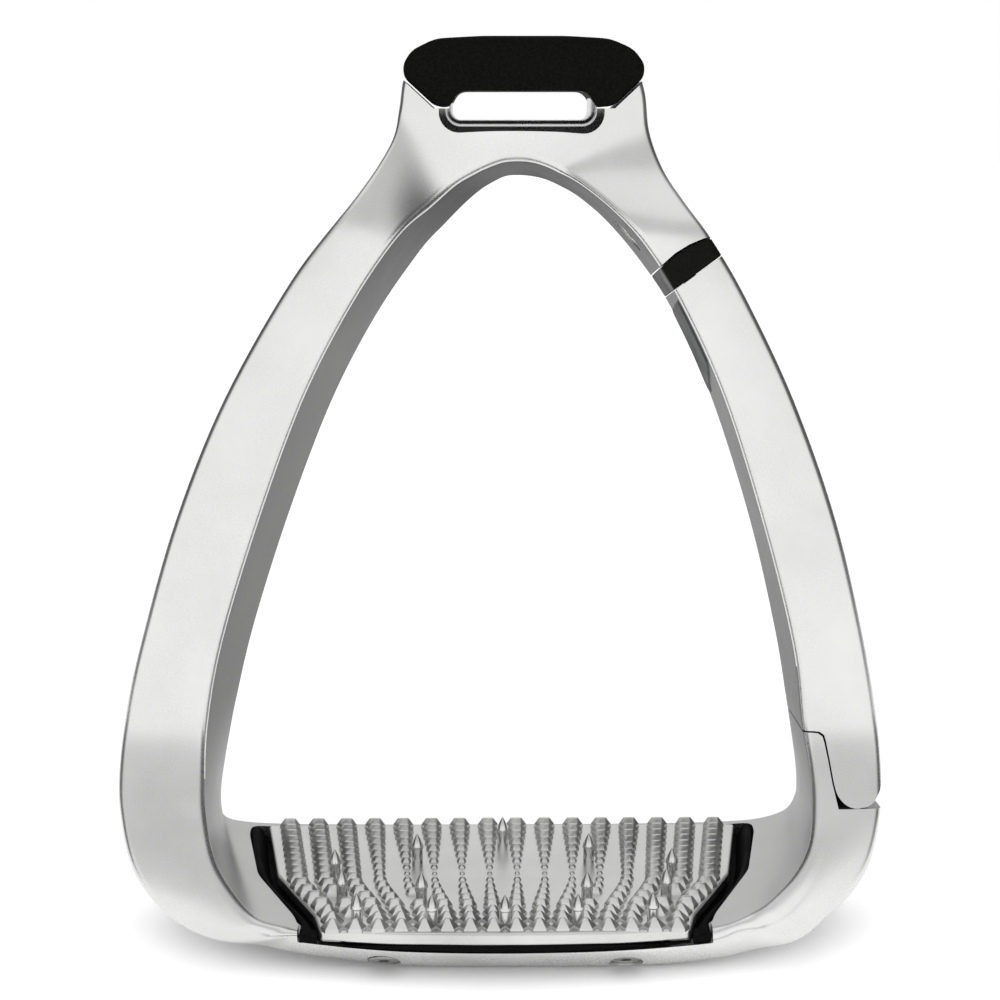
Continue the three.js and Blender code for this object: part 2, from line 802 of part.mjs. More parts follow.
function piece(name, body, look) {
  const mesh = body.getMesh();
  const g = new THREE.BufferGeometry();
  const pos = new Float32Array((mesh.vertProperties.length / mesh.numProp) * 3);
  for (let i = 0; i < pos.length / 3; i++) {
    for (let k = 0; k < 3; k++) {
      pos[i * 3 + k] = mesh.vertProperties[i * mesh.numProp + k];
    }
  }
  g.setAttribute("position", new THREE.BufferAttribute(pos, 3));
  g.setIndex(new THREE.BufferAttribute(new Uint32Array(mesh.triVerts), 1));
  const out = new THREE.Mesh(g, new THREE.MeshStandardMaterial(LOOK[look]));
  out.name = name;
  stirrup.add(out);
}

piece("frame_body", frameBody(), "alloy");
piece("release_arm", releaseArm(), "alloy");
piece("eye_pad", padSolid(0).subtract(coreSolid(GAP)), "polymer");
piece("latch_collar", latchCollar(), "polymer");
piece("arm_striker", striker(), "insert");
piece("collar_screw", collarScrew(), "steel");
piece("catch_plunger", plunger(), "steel");
piece("plunger_spring", spring(), "steel");
piece("hinge_pin", hingePin(), "steel");
piece("tread_rubber", treadRubber(), "polymer");
piece("tread_plate", treadPlate(), "stainless");
PINS.forEach((p, i) => piece(`tread_stud_${String(i + 1).padStart(2, "0")}`, stud(p), "stainless"));
piece("tread_screw_left", facetScrew(-TREAD_SCREW_X, 0), "steel");
piece("tread_screw_right", facetScrew(TREAD_SCREW_X, 0), "steel");

export default stirrup;
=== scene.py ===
"""Safety stirrup iron: the visual pieces, their materials, the light and the camera. Metres."""

import math

import bmesh
import bpy
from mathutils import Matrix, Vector


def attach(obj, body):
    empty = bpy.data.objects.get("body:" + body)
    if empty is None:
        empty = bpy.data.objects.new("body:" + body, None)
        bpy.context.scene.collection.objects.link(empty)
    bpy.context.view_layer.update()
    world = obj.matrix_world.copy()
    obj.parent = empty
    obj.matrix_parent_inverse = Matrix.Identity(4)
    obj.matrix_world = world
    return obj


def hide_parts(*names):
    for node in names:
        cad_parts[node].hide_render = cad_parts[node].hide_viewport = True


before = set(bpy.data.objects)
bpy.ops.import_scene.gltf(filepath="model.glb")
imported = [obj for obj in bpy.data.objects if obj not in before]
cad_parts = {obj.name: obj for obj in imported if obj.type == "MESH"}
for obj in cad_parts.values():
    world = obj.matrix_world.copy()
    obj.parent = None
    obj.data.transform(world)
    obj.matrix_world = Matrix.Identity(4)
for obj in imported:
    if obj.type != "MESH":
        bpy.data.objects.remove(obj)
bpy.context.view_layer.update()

# ---- driving dimensions, in millimetres unless named otherwise ----------------------------
MM = 0.001
GAP = 0.3
LEAN = math.radians(9)
LEAN_FULL_Z = 38
LEAN_NONE_Z = 9
LEAN_ROOT_Z = 10
BRANCH_HALF = 17
EYE_HALF = 9.2
BED_HALF = 29
WALL_SKEW = 1.1
HEEL_FLARE = 2.2
# Where each change of section begins, and how far it takes to be complete.
EYE_FROM_Z, EYE_BLEND = 128, 18
BED_FROM_Z, BED_BLEND = 42, 33
SKEW_FROM_Z, SKEW_BLEND = 12, 40
KEEL_FROM_X, KEEL_BLEND_X = 58, 14
KEEL_FROM_Z, KEEL_BLEND_Z = 12, 8
HEEL_FROM_X, HEEL_BLEND_X = 42, 10
HEEL_FROM_Z, HEEL_BLEND_Z = 24, 8
OUTER_ROUND = 1.5
INNER_FRONT_ROUND = 1.7
INNER_REAR_ROUND = 1.0
KEEL_RUN = 6.5
KEEL_RISE = 5.4
CORNER_POWER = 2
KEEL_FLATTER = 0.8
LIP_SHARE = 0.7
FACE_CROWN = 0.3
OUTER_CROWN = 0.5
STATION_STEPS = 8
CORNER_STEPS = 6
FACE_STEPS = 8
SIDE_STEPS = 12

# Outer x and z, inner front x and z, inner rear x and z, once round from the top of the eye.
RING = [
    (4, 166.2, 3.2, 143.4, 3.4, 142.9),
    (-9, 165.6, 0.2, 143.2, 0.8, 142.7),
    (-15.4, 163.2, -2.8, 142.2, -1.8, 141.5),
    (-18.3, 159, -5.6, 140.9, -4.2, 140),
    (-19.3, 153, -9.2, 138.8, -6.8, 137.8),
    (-20.8, 146, -13.6, 134.7, -10.9, 134),
    (-26.9, 135.2, -19.4, 128.9, -16.6, 128.5),
    (-37.9, 120.9, -28.1, 116.2, -25.3, 116.1),
    (-50.4, 99.3, -36.9, 99.4, -34.1, 99.4),
    (-59.4, 77.5, -45.1, 77.6, -42.6, 77.6),
    (-65.8, 55.8, -51.9, 55.7, -49.7, 55.7),
    (-69.2, 41, -54.7, 40.5, -53.5, 40.3),
    (-70.2, 31, -54.8, 30, -55.6, 31),
    (-69.4, 24.6, -54, 24.8, -56.8, 25),
    (-67.4, 19.2, -52, 19.4, -57.8, 19.2),
    (-64.2, 15.3, -48.4, 15.1, -58.2, 14),
    (-59.6, 11.5, -44.6, 12, -57.4, 10.6),
    (-52, 7.3, -40, 10.4, -52.6, 9.3),
    (-42, 3.7, -35, 9.4, -42, 8.8),
    (-30, 1.6, -28, 8.8, -30, 8.7),
    (-18, 0.3, -18, 8.6, -18, 8.6),
    (0, 0, 0, 8.6, 0, 8.6),
    (18, 0, 18, 8.6, 18, 8.6),
    (29, 0.3, 27, 8.7, 29, 8.7),
    (36.5, 1.1, 34, 9.3, 38, 8.8),
    (43.5, 2.5, 39.5, 10.4, 47, 9.1),
    (51.5, 5.9, 44.6, 12.7, 54, 9.8),
    (58, 11.2, 49, 15.8, 59, 11.8),
    (62.8, 14.8, 52.6, 19, 60.8, 15.6),
    (66.5, 19.2, 55, 22.6, 60.8, 20),
    (69, 25.8, 56, 27.2, 60, 26),
    (70, 32, 56, 32.6, 58.8, 32.4),
    (69.9, 41, 54.9, 41, 57.2, 41),
    (67.6, 55.5, 53.3, 54.6, 55, 54),
    (62.3, 77.4, 48, 75.8, 50, 75.5),
    (54.5, 99.1, 40.6, 99.2, 42.4, 99.3),
    (45.8, 117.3, 32.7, 116.4, 34.8, 116.4),
    (39.5, 128, 25.9, 127.2, 27.8, 127.1),
    (34.3, 135.2, 19.5, 134.4, 21.4, 134.2),
    (30.1, 141.7, 14, 139.2, 15.6, 138.7),
    (27.4, 148.9, 10.3, 141.4, 11.4, 140.9),
    (26.3, 157, 7.6, 142.6, 8.6, 142.1),
    (22.8, 163.4, 5.4, 143.2, 6, 142.7),
]

SLOT = {"x0": -9.5, "x1": 16.5, "z0": 152.3, "z1": 157.6, "corner": 1.6, "flare": 1.7}
EYE_Y = 23.8
PAD_HALF = 10
PAD_MIDDLE = (4, 161)
PAD_ROUND = 1.6
PAD_TOP_ROUND = 3.4
PAD_LOW_Z = 150
PAD_HIGH_Z = 167.9
PAD_CLEAR = 4
PAD = [
    (-8.3, 157.6),
    (-9.8, 154.7),
    (-12.6, 154.7),
    (-18.4, 160),
    (-18.6, 162.4),
    (-17, 165),
    (-12.5, 167.2),
    (-4, 167.7),
    (12, 167.7),
    (20, 167.2),
    (24.5, 165.2),
    (26.5, 162.4),
    (26.3, 160),
    (20.6, 154.7),
    (17.4, 154.7),
    (15.8, 157.6),
]

PIVOT = (65.2, 29)
PIN_R = 1.6
LUG_R = 3.3
LUG_HALF = 5
LUG_ROOT_IN = 2
LUG_ROOT_OUT = 2.2
LUG_ROOT_HIGH = 2.4
FORK_RISE = 4.6
HEEL_R = 3.2
HEEL_INNER = 4.7
PIN_FRONT = -17
PIN_REAR = 19
SEAM = ((31.7, 120.5), (39.6, 126.3))
SEAM_CLOSE = 0.08
SEAM_OUT_X = 48
ARM_TOP_OUT_X = 50
WINDOW_X = 22
OUTSIDE_X = 80
STEP_X = 60.4
STEP_TOP = 38.8
LEDGE = 25.6
CATCH = (35.9, 123.6)
CATCH_DIR = (-0.53, 0.848)
CATCH_R = 1.5
CATCH_NOSE = 1.2
CATCH_BODY = 4.6
CATCH_SHOULDER = 3.2
CATCH_STEM_R = 0.6
CATCH_BORE = 11
SPRING_TURNS = 5
SPRING_R = 1.1
SPRING_WIRE = 0.22
SCREW = (24.4, 132.1)
SCREW_DIR = (0.75, 0.66)

PLATE = [(48, 25.5), (43.5, -1.6), (34.8, -21.5), (33.4, -28.1), (20, -29.5), (5, -30)]
RUBBER = [(51.2, 26), (51.2, 21), (46.8, -3), (38.1, -22), (37, -26.1)]
FRONT_Y = -28.9
LIP_Y = -26.4
LIP_HALF = 37.3
LIP_LOW = 5.3
LIP_RISE = 2.0
LIP_RUBBER = 1.6
LIP_CORNER = 33.8
LIP_COVER = 7.25
RIM_OUTER = [(51.2, 25.9), (51.2, 20.5), (46.8, -3), (38.1, -22), (37, -26.2), (37, -28.8)]
RIM_INNER = [(48.5, 25.9), (47.6, 20.5), (43.9, -2.2), (35.3, -21.6), (34.1, -26.2), (33.9, -28.8)]
RIM_SECTION = [(0, 0), (0, 0.8), (0.12, 0.96), (0.3, 1), (0.5, 0.93), (1, 0.35), (1, 0)]
RIM_TOPS = [9.3, 9.4, 9.4, 9.4, 9.2, 9.0]
RIM_LOWS = [5.25, 5.25, 5.25, 5.25, 7.5, 7.5]
BED_FLOOR = 5.2
POCKET_ROUND = 2.5
ABOVE = 30
AHEAD = 40
RUBBER_TOP = 6.9
PLATE_Z0 = 7.2
PLATE_Z1 = 9.6
PLATE_ROUND = 1.0
PLATE_EDGE = 0.7
TOOTH_ROWS = 17
TOOTH_COLUMNS = 16
TOOTH_PITCH = 3.21
TOOTH_FIRST_Y = 24.1
STUD_CLEAR = 1.9
BEAD_Y = -1.5
BEAD_REAR = 24
BEAD_FRONT = 22
BEAD_FADE = 0.76
FULL_COLUMN = 6.4
COLUMN_FADE = 3.4
COLUMN_PITCH = 5.3
COLUMN_BEND_Y = -1.6
COLUMN_SPREAD, COLUMN_REAR_RUN = 0.5, 25.7
COLUMN_CLOSE, COLUMN_FRONT_RUN = 1.16, 25.4
# Half width, half length, shift to the rear and height of each level of a tooth.
SCALE_LEVELS = [
    (2.2, 1.6, 0, -0.3),
    (2.05, 1.35, 0.15, 0.5),
    (1.15, 0.35, 0.6, 1.6),
    (1.0, 0.18, 0.65, 1.68),
]
POINT_LEVELS = [
    (2.3, 1.75, 0, -0.3),
    (2.05, 1.5, 0, 0.35),
    (0.45, 0.25, 0.3, 1.7),
    (0.25, 0.12, 0.3, 1.76),
]
HEXAGON = ((1, 0), (0.55, 1), (-0.55, 1), (-1, 0), (-0.55, -1), (0.55, -1))
POINTED_ROWS = 3
STUDS = [
    (0, 14.4),
    (-16.8, 5.2),
    (16.8, 5.2),
    (-32.3, -3),
    (32.3, -3),
    (-30.3, -13.2),
    (30.3, -13.2),
    (-15.4, -14.8),
    (15.4, -14.8),
    (-13.2, -25.4),
    (13.2, -25.4),
    (-26.8, -24.7),
    (26.8, -24.7),
    (0, -25.8),
]
STUD_R = 1.22
STUD_SHANK_R = 1.05
STUD_HEAD = 2.9
STUD_TOP = 15.3
STUD_SINK = 1.8
STUD_RIM = 0.12
STUD_OGIVE = 1.45
TREAD_SCREW_X = 22
FACET_SCREW_Y = -25.4
FACET_SCREW_Z = 2.4
FACET_SCREW_AXIS = (0, 0.56, 0.83)
# Head radius, shank radius and length of each screw, and the depth of its seat.
COLLAR_SCREW = (3.4, 1.5, 6.4)
FACET_SCREW = (2.8, 1.3, 6.6)
SEAT_DEPTH = 6.8
SEAT_SHANK_R = 1.6
SOCKET_SHARE = 0.42
LOBE = 0.14

CAMERA_AT = (-4.3, -360.6, 152.8)
CAMERA_PITCH = math.radians(79)
CAMERA_YAW = math.radians(-0.58)
CAMERA_LENS = 70.9
CAMERA_SENSOR = 36
CAMERA_NEAR = 0.01
SIDE_FLAGS = 0.1
OVERHEAD = 0.9
UPPER_SKY = 0.62
FRONT_PANEL = 1.1
BACK_PANEL = 1.0
REAR_FLAGS = 0.2
# Where each part of the sky begins and is complete, in the components of the view direction.
SIDE_BAND = (0.45, 0.85)
UPPER_BAND = (0.28, 0.58)
OVERHEAD_BAND = (0.68, 0.92)
BACK_BAND = (-0.2, 0.6)
FLOOR_GLOW = 0.55
FLOOR_REACH = 6000
FLOOR_Z = -0.05
# Half length and half depth in metres of the painted contact shadow, a darker patch under the piece.
SHADOW_PATCH = (0.074, 0.034)
SHADOW_PATCH_FADE = (0.7, 1.05)
SHADOW_PATCH_GLOW = 0.05

BRANCH_UP = Vector((0, math.sin(LEAN), math.cos(LEAN)))
BRANCH_NORMAL = Vector((0, math.cos(LEAN), -math.sin(LEAN)))
MID_D = -LEAN_ROOT_Z * math.sin(LEAN)
FAR = 60
WINDOW_MIDDLE_Z = 75
# The heights in metres over which the inner wall's painted light and shade change: painted light low down,
# painted shade up in the arch.
PAINTED_LIGHT_HEIGHTS = (0.012, 0.045)
PAINTED_SHADE_HEIGHTS = (0.105, 0.14)
# Side faces of the tread plate larger than this, in square metres, get the dark brushed edge material,
# painted shade.
FLANGE_AREA = 4e-6
# The mix node's colour sockets, which share their names with its sockets for other types.
COLOUR_A, COLOUR_B, COLOUR_RESULT = 6, 7, 2


# ---- mesh helpers --------------------------------------------------------------------------
def mesh_object(name, verts, faces):
    mesh = bpy.data.meshes.new(name)
    mesh.from_pydata([Vector(v) * MM for v in verts], [], faces)
    bm = bmesh.new()
    bm.from_mesh(mesh)
    bmesh.ops.recalc_face_normals(bm, faces=bm.faces)
    bm.to_mesh(mesh)
    bm.free()
    obj = bpy.data.objects.new(name, mesh)
    bpy.context.scene.collection.objects.link(obj)
    return obj


def apply_modifiers(obj):
    bpy.context.view_layer.update()
    evaluated = obj.evaluated_get(bpy.context.evaluated_depsgraph_get())
    mesh = bpy.data.meshes.new_from_object(evaluated)
    obj.modifiers.clear()
    obj.data = mesh
    return obj


def combine(obj, others, operation="DIFFERENCE"):
    """Cuts, joins or intersects obj with each of the others, and removes them."""
    for other in others:
        mod = obj.modifiers.new("combine", "BOOLEAN")
        mod.operation = operation
        mod.object = other
        mod.solver = "EXACT"
        apply_modifiers(obj)
    for other in others:
        bpy.data.objects.remove(other)
    return obj


def join(obj, other):
    """Adds the other object's mesh to obj as a second shell."""
    bm = bmesh.new()
    bm.from_mesh(obj.data)
    bm.from_mesh(other.data)
    bm.to_mesh(obj.data)
    bm.free()
    bpy.data.objects.remove(other)
    return obj


def bevel(obj, width, segments=2, angle=40):
    mod = obj.modifiers.new("bevel", "BEVEL")
    mod.width = width * MM
    mod.segments = segments
    mod.limit_method = "ANGLE"
    mod.angle_limit = math.radians(angle)
    return apply_modifiers(obj)


def soften(obj, voxel, rounds):
    """Rounds every edge of a moulded piece."""
    mod = obj.modifiers.new("remesh", "REMESH")
    mod.mode = "VOXEL"
    mod.voxel_size = voxel * MM
    apply_modifiers(obj)
    mod = obj.modifiers.new("smooth", "SMOOTH")
    mod.factor = 0.5
    mod.iterations = rounds
    return apply_modifiers(obj)


def shade(obj, angle=32):
    obj.data.shade_smooth()
    obj.data.set_sharp_from_angle(angle=math.radians(angle))
    mod = obj.modifiers.new("normals", "WEIGHTED_NORMAL")
    mod.keep_sharp = True
    return apply_modifiers(obj)


def loft(name, rows, closed=False):
    """A solid through equal rings of points; closed joins the last ring to the first."""
    n = len(rows)
    m = len(rows[0])
    faces = []
    for i in range(n if closed else n - 1):
        for j in range(m):
            k = (j + 1) % m
            nxt = (i + 1) % n
            faces.append((i * m + j, i * m + k, nxt * m + k, nxt * m + j))
    if not closed:
        faces.append(tuple(range(m)))
        faces.append(tuple((n - 1) * m + j for j in reversed(range(m))))
    return mesh_object(name, [p for row in rows for p in row], faces)


def branch_point(x, w, d):
    return Vector((x, 0, 0)) + BRANCH_UP * w + BRANCH_NORMAL * d


def branch_prism(points, d0, d1):
    return loft("cut", [[branch_point(x, w, d) for x, w in points] for d in (d0, d1)])


def eye_prism(points, y0, y1):
    return loft("cut", [[(x, y, z) for x, z in points] for y in (y0, y1)])


def slab(points, z0, z1):
    return loft("cut", [[(x, y, z) for x, y in points] for z in (z0, z1)])


def turned(name, profile, at, axis, segments=48):
    """A body of revolution: profile is (radius, distance along the axis)."""
    turn = Vector((0, 0, 1)).rotation_difference(Vector(axis).normalized())
    rows = []
    for r, h in profile:
        row = []
        for i in range(segments):
            a = 2 * math.pi * i / segments
            p = turn @ Vector((max(r, 0.005) * math.cos(a), max(r, 0.005) * math.sin(a), h))
            row.append(p + Vector(at))
        rows.append(row)
    return loft(name, rows)


def rounded(points, radius, steps=5):
    """The outline with each corner turned into an arc-like curve."""
    out = []
    n = len(points)
    for i in range(n):
        p = Vector(points[i])
        before = Vector(points[i - 1]) - p
        after = Vector(points[(i + 1) % n]) - p
        reach = min(radius, before.length * 0.45, after.length * 0.45)
        a = p + before.normalized() * reach
        b = p + after.normalized() * reach
        for k in range(steps + 1):
            t = k / steps
            q = a * (1 - t) ** 2 + p * 2 * t * (1 - t) + b * t * t
            out.append((q.x, q.y))
    return out


def mirrored(half):
    return list(half) + [(-x, y) for x, y in reversed(half)]


def circle(cx, cy, r, n=40):
    turns = [2 * math.pi * i / n for i in range(n)]
    return [(cx + r * math.cos(a), cy + r * math.sin(a)) for a in turns]


def smooth(t):
    c = min(1, max(0, t))
    return c * c * (3 - 2 * c)


# ---- the ring ------------------------------------------------------------------------------
def spline(p0, p1, p2, p3, t):
    return 0.5 * (
        2 * p1
        + (p2 - p0) * t
        + (2 * p0 - 5 * p1 + 4 * p2 - p3) * t * t
        + (3 * p1 - p0 - 3 * p2 + p3) * t * t * t
    )


def fine_rows(rows, steps):
    """More rows between the given ones, on a smooth curve through them."""
    out = []
    last = len(rows) - 1
    for i in range(last):
        ends = [rows[max(0, i - 1)], rows[i], rows[i + 1], rows[min(last, i + 2)]]
        for k in range(steps):
            t = k / steps
            row = [tuple(spline(*axis, t) for axis in zip(*points)) for points in zip(*ends)]
            out.append(row)
    return out + [rows[-1]]


def station(u):
    """The ring's guide values at u, where whole numbers are the rows of RING."""
    n = len(RING)
    i = int(math.floor(u))
    t = u - i
    rows = [RING[(i + k) % n] for k in (-1, 0, 1, 2)]
    values = [spline(*(row[c] for row in rows), t) for c in range(6)]
    values[1] = max(0, values[1])
    return values


class Section:
    """One cross-section: at(s, t) runs front to rear as s goes -1 to 1, outer to inner as t goes 0 to 1."""

    def __init__(self, values):
        ox, oz, fx, fz, bx, bz = values
        z = (2 * oz + fz + bz) / 4
        eye = smooth((z - EYE_FROM_Z) / EYE_BLEND)
        bed = smooth((BED_FROM_Z - z) / BED_BLEND)
        self.half = BRANCH_HALF + (EYE_HALF - BRANCH_HALF) * eye + (BED_HALF - BRANCH_HALF) * bed
        self.lean = LEAN * smooth((z - LEAN_NONE_Z) / (LEAN_FULL_Z - LEAN_NONE_Z))
        self.mid = max(0, z - LEAN_ROOT_Z) * math.tan(LEAN)
        self.skew = WALL_SKEW * smooth((z - SKEW_FROM_Z) / SKEW_BLEND) * (1 - eye)
        self.thick = math.hypot(ox - (fx + bx) / 2, oz - (fz + bz) / 2)
        self.keel = smooth((KEEL_FROM_X - abs(ox)) / KEEL_BLEND_X) * smooth((KEEL_FROM_Z - oz) / KEEL_BLEND_Z)
        heel = HEEL_FLARE * smooth((abs(ox) - HEEL_FROM_X) / HEEL_BLEND_X)
        heel *= smooth((HEEL_FROM_Z - oz) / HEEL_BLEND_Z)
        self.flare = (math.copysign(heel, ox), -heel)
        self.values = values

    def at(self, s, t):
        ox, oz, fx, fz, bx, bz = self.values
        ix = (fx + bx) / 2 + (bx - fx) / 2 * s
        iz = (fz + bz) / 2 + (bz - fz) / 2 * s
        ox += self.skew * s + self.flare[0] * (1 + s) / 2
        oz += self.flare[1] * (1 + s) / 2
        x = ox * (1 - t) + ix * t
        y = self.mid + s * self.half * math.cos(self.lean)
        z = oz + (iz - oz) * t - s * self.half * math.sin(self.lean)
        return (x, y, z)

    def corner(self, s_sign, t_end, run, rise, power):
        """Points round one corner, from the front or rear face to the outer or inner face."""
        points = []
        for k in range(CORNER_STEPS + 1):
            a = math.pi / 2 * k / CORNER_STEPS
            c = math.cos(a) ** (2 / power)
            n = math.sin(a) ** (2 / power)
            s = s_sign * (1 - run / self.half * (1 - c))
            depth = rise / self.thick * (1 - n)
            points.append((s, depth if t_end == 0 else 1 - depth))
        return points

    def outline(self):
        run = OUTER_ROUND + (KEEL_RUN - OUTER_ROUND) * self.keel
        rise = OUTER_ROUND + (KEEL_RISE - OUTER_ROUND) * self.keel
        power = CORNER_POWER - KEEL_FLATTER * self.keel
        front_outer = self.corner(-1, 0, run, rise, power)
        rear_outer = self.corner(1, 0, run, rise, power)
        lip = min(INNER_FRONT_ROUND, LIP_SHARE * (self.thick - rise))
        front_inner = self.corner(-1, 1, lip, lip, CORNER_POWER)
        rear_inner = self.corner(1, 1, INNER_REAR_ROUND, INNER_REAR_ROUND, CORNER_POWER)
        crown = OUTER_CROWN * (1 - self.keel) / self.thick
        points = list(front_outer)
        points += self.face(front_outer[-1], rear_outer[-1], SIDE_STEPS, 0, -crown)
        points += reversed(rear_outer)
        points += self.face(rear_outer[0], rear_inner[0], FACE_STEPS, FACE_CROWN / self.half, 0)
        points += rear_inner
        points += self.face(rear_inner[-1], front_inner[-1], SIDE_STEPS, 0, 0)
        points += reversed(front_inner)
        points += self.face(front_inner[0], front_outer[0], FACE_STEPS, -FACE_CROWN / self.half, 0)
        return [self.at(s, t) for s, t in points]

    @staticmethod
    def face(a, b, steps, bulge_s, bulge_t):
        """The points between two corners, swelling by up to the given amounts."""
        out = []
        for k in range(1, steps):
            f = k / steps
            swell = 4 * f * (1 - f)
            s = a[0] + (b[0] - a[0]) * f + bulge_s * swell
            t = a[1] + (b[1] - a[1]) * f + bulge_t * swell
            out.append((s, t))
        return out


def ring(name):
    count = len(RING) * STATION_STEPS
    return loft(name, [Section(station(i / STATION_STEPS)).outline() for i in range(count)], closed=True)


# ---- outlines of the joints ------------------------------------------------------------------
def seam_point(x, shift=0):
    (x0, w0), (x1, w1) = SEAM
    return (x, w0 + (w1 - w0) / (x1 - x0) * (x - x0) + shift)


def collar_outline(grow):
    arc = [(SEAM_OUT_X, 136), (42, 131.2), (38.6, 130.2), (36.6, 129.7), (34, 128.6), (31.4, 127)]
    arc += [(28.8, 124.7), (26, 121.4), (WINDOW_X, 115.6)]
    seam = [seam_point(WINDOW_X, -grow), seam_point(SEAM_OUT_X, -grow)]
    return seam + [(x, w + grow) for x, w in arc]


def step_line(gap):
    x = STEP_X + gap
    w = STEP_TOP + gap
    corner = [(x - 3.6, w), (x - 2.5, w - 0.1), (x - 1.7, w - 0.7), (x - 1.4, w - 1.8)]
    return [(WINDOW_X, 100), (40, w)] + corner + [(x - 0.9, 34), (x - 0.4, 30)]


def arm_outline():
    heel = []
    for a in range(180, 331, 6):
        r = HEEL_R + (HEEL_INNER - HEEL_R) * max(0, (270 - a) / 90)
        t = math.radians(a)
        heel.append((PIVOT[0] + r * math.cos(t), PIVOT[1] + r * math.sin(t)))
    rest = [(PIVOT[0] + 3.6, PIVOT[1] - 0.4), (PIVOT[0] + 4.1, PIVOT[1] + 1)]
    rest += [(OUTSIDE_X, 40), (OUTSIDE_X, 100)]
    rest += [seam_point(ARM_TOP_OUT_X, -SEAM_CLOSE), seam_point(WINDOW_X, -SEAM_CLOSE)]
    return heel + rest + step_line(GAP)


def open_side():
    """What the arm and the collar take out of the ring, as one outline."""
    above = collar_outline(0)[1:]
    return [(STEP_X + 0.4, LEDGE), (OUTSIDE_X, LEDGE), seam_point(OUTSIDE_X)] + above + step_line(0)


def catch_axis():
    return Vector((CATCH_DIR[0], 0, 0)) + BRANCH_UP * CATCH_DIR[1]


def screw_axis():
    return Vector((SCREW_DIR[0], 0, 0)) + BRANCH_UP * SCREW_DIR[1]


def catch_bore(r, start, end):
    at = branch_point(*CATCH, MID_D)
    return turned("cut", [(0, start), (r, start), (r, end), (0, end)], at, catch_axis(), 24)


def slot_ring(out, y, steps=8):
    x0, x1, z0, z1, corner = (SLOT[k] for k in ("x0", "x1", "z0", "z1", "corner"))
    r = corner + out
    points = []
    for cx, cz, start in ((x1, z0, -90), (x1, z1, 0), (x0, z1, 90), (x0, z0, 180)):
        px = cx - corner if cx == x1 else cx + corner
        pz = cz + corner if cz == z0 else cz + 2
        for k in range(steps + 1):
            a = math.radians(start + 90 * k / steps)
            points.append((px + r * math.cos(a), y, pz + r * math.sin(a)))
    return points


def slot_cutter():
    """The leather slot with a rolled lip at each face."""
    f = SLOT["flare"]
    rows = [(f + 2, -EYE_HALF - 4), (f, -EYE_HALF - 0.3), (f * 0.86, -EYE_HALF + 0.15)]
    rows += [(f * 0.7, -EYE_HALF + 0.75), (f * 0.45, -EYE_HALF + 0.95), (f * 0.3, -EYE_HALF + 1.3)]
    rows += [(f * 0.12, -EYE_HALF + 2.2), (0, -EYE_HALF + 3.6)]
    rows += [(out, -y) for out, y in reversed(rows)]
    return loft("cut", [slot_ring(out, EYE_Y + y) for out, y in rows])


def screw_seat(at, axis, head_r):
    profile = [(0, -6), (head_r + GAP, -6), (head_r + GAP, 0.3), (SEAT_SHANK_R, 2.4)]
    profile += [(SEAT_SHANK_R, SEAT_DEPTH), (0, SEAT_DEPTH)]
    return turned("cut", profile, at, axis, 36)


def facet_screw_at(x):
    return Vector((x, FACET_SCREW_Y, FACET_SCREW_Z))


def lip_curve(lift):
    """The frame's front lip under the tread: low in the middle and rising to each side."""
    steps = [i / 12 - 1 for i in range(25)]
    return [(f * LIP_HALF, LIP_LOW + LIP_RISE * f * f + lift) for f in steps]


# ---- metal pieces ------------------------------------------------------------------------------
def pad_room():
    """The pad's outline grown by the gap, cut right through the eye."""
    mid_x, mid_z = PAD_MIDDLE
    grown = [(x + (GAP if x > mid_x else -GAP), z + (GAP if z > mid_z else -GAP)) for x, z in PAD]
    return eye_prism(grown, EYE_Y - PAD_HALF - PAD_CLEAR, EYE_Y + PAD_HALF + PAD_CLEAR)


def frame_body():
    body = ring("frame_body_shell")
    combine(body, [branch_prism(open_side(), -FAR, FAR)])
    lug = branch_prism(circle(*PIVOT, LUG_R), MID_D - LUG_HALF, MID_D + LUG_HALF)
    root_x = STEP_X - LUG_ROOT_IN
    outer_x = PIVOT[0] + LUG_ROOT_OUT
    low = LEDGE - LUG_ROOT_IN
    high = PIVOT[1] + LUG_ROOT_HIGH
    root = [(root_x, low), (outer_x, low), (outer_x, PIVOT[1] - LUG_ROOT_HIGH)]
    root += [(PIVOT[0], high), (root_x, high)]
    combine(lug, [branch_prism(root, MID_D - LUG_HALF, MID_D + LUG_HALF)], "UNION")
    combine(body, [lug], "UNION")
    bore = branch_prism(circle(*PIVOT, PIN_R + GAP), MID_D - LUG_HALF - 1, MID_D + LUG_HALF + 1)
    cuts = [bore, catch_bore(CATCH_R + GAP, -2, CATCH_BORE), pad_room(), slot_cutter()]
    cuts.append(screw_seat(branch_point(*SCREW, MID_D), screw_axis(), COLLAR_SCREW[0]))
    for x in (-TREAD_SCREW_X, TREAD_SCREW_X):
        cuts.append(screw_seat(facet_screw_at(x), FACET_SCREW_AXIS, FACET_SCREW[0]))
    pocket = [(x + GAP, y) for x, y in RUBBER]
    pocket[0] = (pocket[0][0], pocket[0][1] + GAP)
    pocket[-1] = (pocket[-1][0], LIP_Y)
    cuts.append(slab(rounded(mirrored(pocket), POCKET_ROUND), BED_FLOOR, ABOVE))
    mouth = lip_curve(0) + [(LIP_HALF, ABOVE + 1), (-LIP_HALF, ABOVE + 1)]
    cuts.append(eye_prism(mouth, -AHEAD, LIP_Y + 0.5))
    combine(body, cuts)
    return body


def release_arm():
    body = ring("release_arm_shell")
    combine(body, [branch_prism(arm_outline(), -FAR, FAR)], "INTERSECT")
    high = PIVOT[1] + FORK_RISE
    fork = [(40, 10), (90, 10), (90, high), (STEP_X - 4, high)]
    reach = LUG_HALF + GAP
    cuts = [branch_prism(fork, MID_D - reach, MID_D + reach)]
    cuts.append(branch_prism(circle(*PIVOT, PIN_R + 0.1), PIN_FRONT - GAP, FAR))
    return combine(body, cuts)


